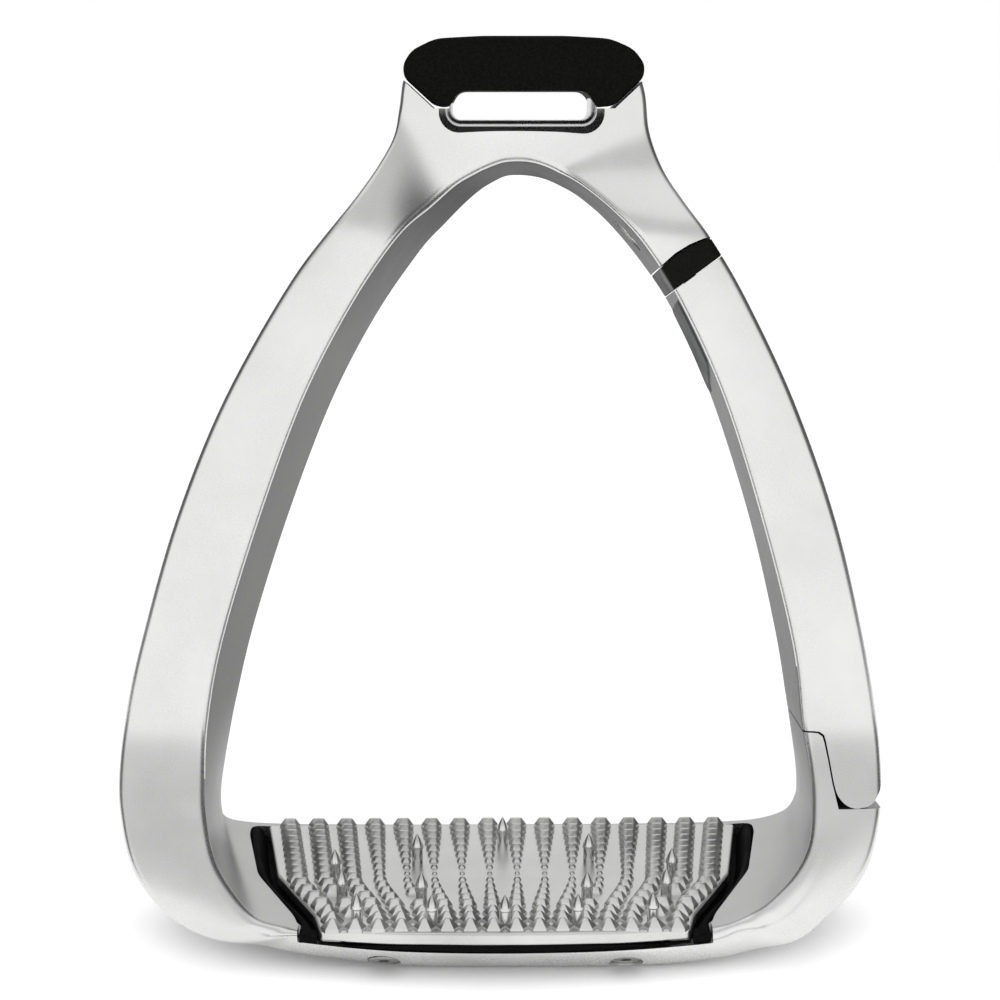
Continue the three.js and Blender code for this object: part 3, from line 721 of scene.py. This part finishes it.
# ---- moulded pieces ------------------------------------------------------------------------------
def eye_pad():
    front = EYE_Y - PAD_HALF
    rear = EYE_Y + PAD_HALF
    body = eye_prism(rounded(PAD, PAD_ROUND), front, rear)
    side = [(front, PAD_LOW_Z), (rear, PAD_LOW_Z), (rear, PAD_HIGH_Z), (front, PAD_HIGH_Z)]
    top = rounded(side, PAD_TOP_ROUND, 8)
    mould = loft("cut", [[(x, y, z) for y, z in top] for x in (-30, 40)])
    combine(body, [mould], "INTERSECT")
    body.name = "eye_pad_sleeve"
    return soften(body, 0.32, 6)


def latch_collar():
    body = ring("latch_collar_wedge")
    seam = [seam_point(WINDOW_X, SEAM_CLOSE), seam_point(SEAM_OUT_X, SEAM_CLOSE)]
    outline = seam + collar_outline(-GAP)[2:]
    combine(body, [branch_prism(outline, -FAR, FAR)], "INTERSECT")
    combine(body, [catch_bore(CATCH_R + GAP, -6, 20)])
    return soften(body, 0.25, 3)


def tread_rubber():
    """A flat bed with a raised rim down each side, sloping in to the plate, and a strip at the front."""
    body = slab(mirrored(RUBBER), BED_FLOOR + GAP, RUBBER_TOP)
    under = [(x - math.copysign(GAP, x), z) for x, z in lip_curve(GAP)]
    over = [(x - math.copysign(GAP, x), z) for x, z in lip_curve(LIP_RUBBER)]
    strip = eye_prism(under + over[::-1], FRONT_Y, RUBBER[-1][1] + 0.4)
    well = [(x + GAP, y - GAP) for x, y in PLATE]
    combine(strip, [slab(mirrored(well), RUBBER_TOP, ABOVE)])
    combine(strip, [slab(mirrored([(LIP_CORNER, -20), (LIP_CORNER, -AHEAD)]), LIP_COVER, ABOVE)])
    join(body, strip)
    for side in (-1, 1):
        rows = []
        for (px, py), (qx, qy), top, low in zip(RIM_OUTER, RIM_INNER, RIM_TOPS, RIM_LOWS):
            row = [(px + (qx - px) * f, py + (qy - py) * f, low + (top - low) * h) for f, h in RIM_SECTION]
            rows.append([(side * x, y, z) for x, y, z in row])
        join(body, loft("rim", fine_rows(rows, 6)))
    body.name = "tread_rubber_bed"
    return body


def arm_striker():
    """The insert let into the arm's inner face, a little proud of it."""
    proud = 0.5
    deep = 2.4
    rows = []
    steps = 28
    low, high = 35.08, 36.1
    for i in range(steps + 1):
        f = i / steps
        sec = Section(station(low + (high - low) * f))
        end = math.sqrt(max(0.0, 1 - (2 * f - 1) ** 8))
        t_out = 1 + (proud * end - 0.1) / sec.thick
        t_in = 1 - deep / sec.thick
        ease = 0.6 / sec.thick
        front = 0.5 - 1.3 * smooth(f / 0.3)
        row = [sec.at(front, t_in), sec.at(0.86, t_in), sec.at(0.86, t_out - ease)]
        row += [sec.at(0.8, t_out), sec.at(front + 0.06, t_out), sec.at(front, t_out - ease)]
        rows.append(row)
    body = loft("arm_striker_insert", rows)
    return bevel(body, 0.3, 3, 25)


# ---- tread ---------------------------------------------------------------------------------
def column_pitch(y):
    """The columns run nearly straight over the rear half and close in towards the front."""
    if y > COLUMN_BEND_Y:
        return COLUMN_PITCH + COLUMN_SPREAD * (y - COLUMN_BEND_Y) / COLUMN_REAR_RUN
    return COLUMN_PITCH - COLUMN_CLOSE * smooth((COLUMN_BEND_Y - y) / COLUMN_FRONT_RUN)


def tooth_size(column, y):
    """Outer columns keep full teeth; the middle ones taper to beads under the ball of the foot."""
    inner = smooth((FULL_COLUMN - abs(column)) / COLUMN_FADE)
    reach = abs(y - BEAD_Y) / (BEAD_REAR if y > BEAD_Y else BEAD_FRONT)
    return 1 - BEAD_FADE * inner * max(0, 1 - reach)


def tooth_rows(x, y, size, pointed):
    """A six-sided scale leaning to the rear, or a point in the rows at the front."""
    levels = POINT_LEVELS if pointed else SCALE_LEVELS
    rows = []
    for half_x, half_y, back, lift in levels:
        row = []
        for fx, fy in HEXAGON:
            row.append((x + fx * half_x * size, y + (fy * half_y + back) * size, PLATE_Z1 + lift * size))
        rows.append(row)
    return rows


def tread_teeth():
    sides = len(HEXAGON)
    verts = []
    faces = []
    for r in range(TOOTH_ROWS):
        y = TOOTH_FIRST_Y - r * TOOTH_PITCH
        for c in range(TOOTH_COLUMNS):
            column = c - (TOOTH_COLUMNS - 1) / 2
            x = column * column_pitch(y)
            if any(math.hypot(x - sx, y - sy) < STUD_CLEAR for sx, sy in STUDS):
                continue
            rows = tooth_rows(x, y, tooth_size(column, y), r >= TOOTH_ROWS - POINTED_ROWS)
            base = len(verts)
            verts += [p for row in rows for p in row]
            for i in range(len(rows) - 1):
                for j in range(sides):
                    k = (j + 1) % sides
                    a = base + i * sides
                    faces.append((a + j, a + k, a + sides + k, a + sides + j))
            tip = base + (len(rows) - 1) * sides
            faces.append(tuple(base + j for j in reversed(range(sides))))
            faces.append(tuple(tip + j for j in range(sides)))
    return mesh_object("teeth", verts, faces)


def tread_plate():
    plate = slab(rounded(mirrored(PLATE), PLATE_ROUND, 4), PLATE_Z0, PLATE_Z1)
    bevel(plate, PLATE_EDGE, 4, 50)
    plate.name = "tread_plate_toothed"
    return join(plate, tread_teeth())


def stud(index, at):
    """A turned pin: a narrow shank and a wider pointed head."""
    x, y = at
    shoulder = STUD_TOP - STUD_HEAD
    foot = PLATE_Z1 - STUD_SINK
    profile = [(0, foot), (STUD_SHANK_R, foot), (STUD_SHANK_R, shoulder - 0.25)]
    profile += [(STUD_R - 0.05, shoulder - 0.08), (STUD_R, shoulder), (STUD_R, shoulder + STUD_RIM)]
    steps = 9
    for k in range(1, steps + 1):
        f = k / steps
        profile.append((STUD_R * (1 - f**STUD_OGIVE), shoulder + STUD_RIM + (STUD_HEAD - STUD_RIM) * f))
    return turned(f"tread_stud_pin_{index:02d}", profile, (x, y, 0), (0, 0, 1), 32)


# ---- fasteners -----------------------------------------------------------------------------
def lobed(r, depth0, depth1, at, axis):
    """A six-lobed socket."""
    turn = Vector((0, 0, 1)).rotation_difference(Vector(axis).normalized())
    rows = []
    for h in (depth0, depth1):
        row = []
        for i in range(48):
            a = 2 * math.pi * i / 48
            q = r * (1 - LOBE + LOBE * math.cos(6 * a))
            row.append(turn @ Vector((q * math.cos(a), q * math.sin(a), h)) + Vector(at))
        rows.append(row)
    return loft("cut", rows)


def socket_screw(name, at, axis, head_r, shank_r, length):
    profile = [(0, 0), (head_r - 0.25, 0), (head_r, 0.2), (head_r, 0.35), (shank_r, 2.1)]
    profile += [(shank_r, length), (0, length)]
    body = turned(name, profile, at, axis)
    return combine(body, [lobed(head_r * SOCKET_SHARE, -1, 1.3, at, axis)])


def hinge_pin():
    length = PIN_REAR - PIN_FRONT
    profile = [(0, 0), (PIN_R, 0), (PIN_R, length - 0.3), (PIN_R - 0.3, length), (0, length)]
    return turned("hinge_pin_rod", profile, branch_point(*PIVOT, PIN_FRONT), BRANCH_NORMAL)


def catch_plunger():
    n = -CATCH_NOSE
    profile = [(0, n), (0.5, n + 0.05), (0.95, n + 0.3), (1.3, n + 0.75), (CATCH_R, n + 1.3)]
    profile += [(CATCH_R, CATCH_SHOULDER - 0.2), (CATCH_R - 0.2, CATCH_SHOULDER)]
    profile += [(CATCH_STEM_R, CATCH_SHOULDER), (CATCH_STEM_R, CATCH_BODY - 0.15)]
    profile += [(CATCH_STEM_R - 0.15, CATCH_BODY), (0, CATCH_BODY)]
    return turned("catch_plunger_rod", profile, branch_point(*CATCH, MID_D), catch_axis())


def plunger_spring():
    start = CATCH_BODY + GAP + SPRING_WIRE
    end = CATCH_BORE - GAP - SPRING_WIRE
    turn = Vector((0, 0, 1)).rotation_difference(catch_axis().normalized())
    curve = bpy.data.curves.new("plunger_spring_coil", "CURVE")
    curve.dimensions = "3D"
    line = curve.splines.new("POLY")
    per_turn = 24
    count = SPRING_TURNS * per_turn
    line.points.add(count)
    for i in range(count + 1):
        a = 2 * math.pi * i / per_turn
        along = start + (end - start) * i / count
        p = turn @ Vector((SPRING_R * math.cos(a), SPRING_R * math.sin(a), along))
        p = (p + branch_point(*CATCH, MID_D)) * MM
        line.points[i].co = (p.x, p.y, p.z, 1)
    curve.bevel_depth = SPRING_WIRE * MM
    curve.bevel_resolution = 3
    curve.use_fill_caps = True
    obj = bpy.data.objects.new("plunger_spring_coil", curve)
    bpy.context.scene.collection.objects.link(obj)
    return obj


# ---- materials -----------------------------------------------------------------------------
def math_node(tree, operation, *values):
    node = tree.nodes.new("ShaderNodeMath")
    node.operation = operation
    for socket, value in zip(node.inputs, values):
        tree.links.new(value, socket)
    return node.outputs["Value"]


def ramp(tree, value, from_low, from_high, low, high):
    node = tree.nodes.new("ShaderNodeMapRange")
    node.interpolation_type = "SMOOTHSTEP"
    for name, number in zip(("From Min", "From Max", "To Min", "To Max"), (from_low, from_high, low, high)):
        node.inputs[name].default_value = number
    tree.links.new(value, node.inputs["Value"])
    return node.outputs["Result"]


class Nodes:
    """A new node material and short ways to add to it."""

    def __init__(self, name):
        self.mat = bpy.data.materials.new(name)
        self.mat.use_nodes = True
        self.tree = self.mat.node_tree
        self.shader = self.tree.nodes["Principled BSDF"]
        coords = self.tree.nodes.new("ShaderNodeTexCoord")
        self.place = coords.outputs["Object"]

    def stretched(self, scale):
        node = self.tree.nodes.new("ShaderNodeMapping")
        node.inputs["Scale"].default_value = scale
        self.tree.links.new(self.place, node.inputs["Vector"])
        return node.outputs["Vector"]

    def noise(self, scale, detail=4, rough=0.55, vector=None):
        node = self.tree.nodes.new("ShaderNodeTexNoise")
        node.inputs["Scale"].default_value = scale
        node.inputs["Detail"].default_value = detail
        node.inputs["Roughness"].default_value = rough
        self.tree.links.new(vector or self.place, node.inputs["Vector"])
        return node.outputs["Fac"]

    def span(self, value, low, high, from_low=0.3, from_high=0.7):
        node = self.tree.nodes.new("ShaderNodeMapRange")
        node.inputs["From Min"].default_value = from_low
        node.inputs["From Max"].default_value = from_high
        node.inputs["To Min"].default_value = low
        node.inputs["To Max"].default_value = high
        self.tree.links.new(value, node.inputs["Value"])
        return node.outputs["Result"]

    def tint(self, value, low, high):
        node = self.tree.nodes.new("ShaderNodeMix")
        node.data_type = "RGBA"
        node.inputs["A"].default_value = (*low, 1)
        node.inputs["B"].default_value = (*high, 1)
        self.tree.links.new(value, node.inputs["Factor"])
        return node.outputs["Result"]

    def mix(self, a, b, share):
        node = self.tree.nodes.new("ShaderNodeMath")
        node.operation = "MULTIPLY_ADD"
        node.inputs[1].default_value = share
        self.tree.links.new(b, node.inputs[0])
        self.tree.links.new(a, node.inputs[2])
        return node.outputs["Value"]

    def bump(self, height, strength, distance):
        node = self.tree.nodes.new("ShaderNodeBump")
        node.inputs["Strength"].default_value = strength
        node.inputs["Distance"].default_value = distance
        self.tree.links.new(height, node.inputs["Height"])
        self.tree.links.new(node.outputs["Normal"], self.shader.inputs["Normal"])

    def feed(self, socket, value):
        self.tree.links.new(value, self.shader.inputs[socket])


def metal(name, low, high, rough_low, rough_high, grain, bump_strength):
    n = Nodes(name)
    n.shader.inputs["Metallic"].default_value = 1.0
    cloud = n.noise(60, 3)
    fine = n.noise(grain, 5, 0.6, n.stretched((1.0, 1.0, 0.35)))
    n.feed("Base Color", n.tint(n.span(cloud, 0, 1), low, high))
    n.feed("Roughness", n.span(n.mix(cloud, fine, 0.6), rough_low, rough_high, 0.45, 1.1))
    n.bump(fine, bump_strength, 0.00002)
    return n.mat


def shade_by_height(mat, low, high, colour, keep_above):
    """Blend the base colour into another one below (or above) a height band; the inner wall's painted light
    and painted shade are made this way.
    """
    tree = mat.node_tree
    base = tree.nodes["Principled BSDF"].inputs["Base Color"]
    before = base.links[0].from_socket
    split = tree.nodes.new("ShaderNodeSeparateXYZ")
    tree.links.new(tree.nodes.new("ShaderNodeTexCoord").outputs["Object"], split.inputs["Vector"])
    amount = ramp(tree, split.outputs["Z"], low, high, *((1, 0) if keep_above else (0, 1)))
    blend = tree.nodes.new("ShaderNodeMix")
    blend.data_type = "RGBA"
    tree.links.new(amount, blend.inputs["Factor"])
    tree.links.new(before, blend.inputs[COLOUR_A])
    blend.inputs[COLOUR_B].default_value = (*colour, 1)
    tree.links.new(blend.outputs[COLOUR_RESULT], base)


def moulded(name, low, high, rough, grain, bump_strength, specular):
    n = Nodes(name)
    n.shader.inputs["Specular IOR Level"].default_value = specular
    n.shader.inputs["IOR"].default_value = 1.2
    fine = n.noise(grain, 6, 0.65)
    cloud = n.noise(120, 3)
    n.feed("Base Color", n.tint(n.span(fine, 0, 1), low, high))
    n.feed("Roughness", n.span(cloud, rough - 0.07, rough + 0.08))
    n.bump(n.mix(fine, cloud, 0.4), bump_strength, 0.0001)
    return n.mat


# ---- the scene -----------------------------------------------------------------------------
def faces_window(face):
    """True for the faces of the ring that look in at the foot."""
    inward = Vector((-face.center.x, 0, WINDOW_MIDDLE_Z * MM - face.center.z)).normalized()
    return abs(face.normal.y) < 0.35 and face.normal.dot(inward) > 0.3


def place(obj, body, slot, material, *nodes, painted_shade_alloy=None):
    obj.data.materials.clear()
    obj.data.materials.append(material)
    # If a second material is given, the faces that look in at the foot get it: a darker copy of the metal,
    # painted shade.
    if painted_shade_alloy:
        obj.data.materials.append(painted_shade_alloy)
        for face in obj.data.polygons:
            face.material_index = int(faces_window(face))
    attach(obj, body)
    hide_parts(*nodes)
    return obj


def build_pieces():
    alloy = metal("satin_alloy", (0.71, 0.71, 0.705), (0.79, 0.79, 0.785), 0.22, 0.33, 2600, 0.25)
    # A darker copy of the alloy for the faces that look in at the foot: painted shade, and its grey specular
    # tint dims the grazing reflection too.
    painted_shade_alloy = metal("satin_alloy_painted_shade", (0.2, 0.2, 0.198), (0.28, 0.28, 0.275), 0.26, 0.4, 2200, 0.3)
    painted_shade_alloy.node_tree.nodes["Principled BSDF"].inputs["Specular Tint"].default_value = (0.5, 0.5, 0.5, 1)
    # Painted light: the inner wall is lightened low down, near the bed.
    shade_by_height(painted_shade_alloy, *PAINTED_LIGHT_HEIGHTS, (0.72, 0.72, 0.715), keep_above=True)
    # Painted shade: the inner wall is darkened up in the arch.
    shade_by_height(painted_shade_alloy, *PAINTED_SHADE_HEIGHTS, (0.1, 0.1, 0.1), keep_above=False)
    # A near-black copy of the steel for the plate's large sideways faces: painted shade.
    edge = metal("plate_edge_painted_shade", (0.05, 0.05, 0.05), (0.2, 0.2, 0.195), 0.4, 0.6, 1500, 0.8)
    stainless = metal("pressed_stainless", (0.6, 0.6, 0.595), (0.76, 0.76, 0.75), 0.24, 0.4, 3200, 0.5)
    turned_steel = metal("turned_steel", (0.62, 0.62, 0.61), (0.72, 0.72, 0.71), 0.12, 0.26, 4000, 0.1)
    dark_steel = metal("fastener_steel", (0.34, 0.34, 0.34), (0.44, 0.44, 0.43), 0.24, 0.4, 3000, 0.15)
    pad_rubber = moulded("pad_rubber", (0.003, 0.003, 0.003), (0.009, 0.009, 0.008), 0.55, 2200, 0.35, 0.12)
    bed_rubber = moulded("bed_rubber", (0.003, 0.003, 0.003), (0.008, 0.008, 0.008), 0.6, 1800, 0.3, 0.1)
    collar = moulded("collar_polymer", (0.004, 0.004, 0.004), (0.011, 0.011, 0.01), 0.4, 2600, 0.2, 0.2)
    striker = moulded("striker_polymer", (0.05, 0.052, 0.055), (0.085, 0.087, 0.09), 0.5, 2400, 0.2, 0.2)

    place(shade(frame_body()), "frame", "alloy", alloy, "frame_body", painted_shade_alloy=painted_shade_alloy)
    place(shade(release_arm()), "arm", "arm_alloy", alloy, "release_arm", painted_shade_alloy=painted_shade_alloy)
    place(shade(eye_pad(), 60), "frame", "pad_rubber", pad_rubber, "eye_pad")
    place(shade(latch_collar(), 60), "frame", "collar_polymer", collar, "latch_collar")
    place(shade(arm_striker()), "arm", "striker_polymer", striker, "arm_striker")
    place(shade(tread_rubber()), "frame", "tread_rubber", bed_rubber, "tread_rubber")
    plate = place(shade(tread_plate(), 24), "frame", "stainless", stainless, "tread_plate")
    plate.data.materials.append(edge)
    # Painted shade: the plate's large sideways faces get the dark edge material.
    for face in plate.data.polygons:
        side = abs(face.normal.x) > 0.5 and abs(face.normal.z) < 0.4
        face.material_index = int(side and face.area > FLANGE_AREA)
    for i, at in enumerate(STUDS, 1):
        place(shade(stud(i, at), 50), "frame", "stud_steel", turned_steel, f"tread_stud_{i:02d}")
    at = branch_point(*SCREW, MID_D)
    cap = socket_screw("collar_screw_head", at, screw_axis(), *COLLAR_SCREW)
    place(shade(cap, 30), "frame", "fastener_steel", dark_steel, "collar_screw")
    for side, x in (("left", -TREAD_SCREW_X), ("right", TREAD_SCREW_X)):
        cap = socket_screw(f"tread_screw_{side}_head", facet_screw_at(x), FACET_SCREW_AXIS, *FACET_SCREW)
        place(shade(cap, 30), "frame", "fastener_steel", dark_steel, f"tread_screw_{side}")
    place(shade(hinge_pin()), "frame", "fastener_steel", dark_steel, "hinge_pin")
    place(shade(catch_plunger(), 40), "catch", "fastener_steel", turned_steel, "catch_plunger")
    place(plunger_spring(), "frame", "fastener_steel", dark_steel, "plunger_spring")


def floor():
    """Pale paper that glows, with a painted contact shadow: the glow fades to almost nothing in the patch
    under the piece.
    """
    near, far = -FLOOR_REACH, FLOOR_REACH
    points = [(near, near, FLOOR_Z), (far, near, FLOOR_Z), (far, far, FLOOR_Z), (near, far, FLOOR_Z)]
    obj = mesh_object("floor", points, [(0, 1, 2, 3)])
    n = Nodes("floor_paint")
    n.shader.inputs["Base Color"].default_value = (0.9, 0.9, 0.9, 1)
    n.shader.inputs["Roughness"].default_value = 0.9
    n.shader.inputs["Emission Color"].default_value = (1, 1, 1, 1)
    tree = n.mat.node_tree
    length = tree.nodes.new("ShaderNodeVectorMath")
    length.operation = "LENGTH"
    scaled = tree.nodes.new("ShaderNodeVectorMath")
    scaled.operation = "MULTIPLY"
    scaled.inputs[1].default_value = (1 / SHADOW_PATCH[0], 1 / SHADOW_PATCH[1], 0)
    tree.links.new(tree.nodes.new("ShaderNodeTexCoord").outputs["Object"], scaled.inputs[0])
    tree.links.new(scaled.outputs["Vector"], length.inputs[0])
    # Painted contact shadow: the glow drops to almost nothing under the piece.
    glow = ramp(tree, length.outputs["Value"], *SHADOW_PATCH_FADE, SHADOW_PATCH_GLOW, FLOOR_GLOW)
    tree.links.new(glow, n.shader.inputs["Emission Strength"])
    obj.data.materials.append(n.mat)


def studio():
    """A pale sky: dark at the sides, dimmer high up, bright again overhead, brightest in front."""
    scene = bpy.context.scene
    scene.view_settings.view_transform = "Standard"
    world = bpy.data.worlds.new("studio")
    world.use_nodes = True
    tree = world.node_tree
    coords = tree.nodes.new("ShaderNodeTexCoord")
    split = tree.nodes.new("ShaderNodeSeparateXYZ")
    tree.links.new(coords.outputs["Generated"], split.inputs["Vector"])
    sideways = math_node(tree, "ABSOLUTE", split.outputs["X"])
    rearward = ramp(tree, split.outputs["Y"], -1, 1, -REAR_FLAGS, REAR_FLAGS)
    flags = ramp(tree, math_node(tree, "ADD", sideways, rearward), *SIDE_BAND, 1, SIDE_FLAGS)
    upper = ramp(tree, split.outputs["Z"], *UPPER_BAND, 1, UPPER_SKY)
    lowered = math_node(tree, "MULTIPLY", flags, upper)
    overhead = ramp(tree, split.outputs["Z"], *OVERHEAD_BAND, 0, OVERHEAD)
    lifted = math_node(tree, "MAXIMUM", lowered, overhead)
    sky = tree.nodes["Background"]
    sky.inputs["Color"].default_value = (1, 1, 1, 1)
    back = ramp(tree, split.outputs["Y"], *BACK_BAND, FRONT_PANEL, BACK_PANEL)
    tree.links.new(math_node(tree, "MULTIPLY", lifted, back), sky.inputs["Strength"])
    scene.world = world


def camera():
    data = bpy.data.cameras.new("camera")
    data.lens = CAMERA_LENS
    data.sensor_width = CAMERA_SENSOR
    data.clip_start = CAMERA_NEAR
    obj = bpy.data.objects.new("camera", data)
    obj.location = Vector(CAMERA_AT) * MM
    obj.rotation_euler = (CAMERA_PITCH, 0, CAMERA_YAW)
    bpy.context.scene.collection.objects.link(obj)
    bpy.context.scene.camera = obj


camera()
build_pieces()
floor()
studio()
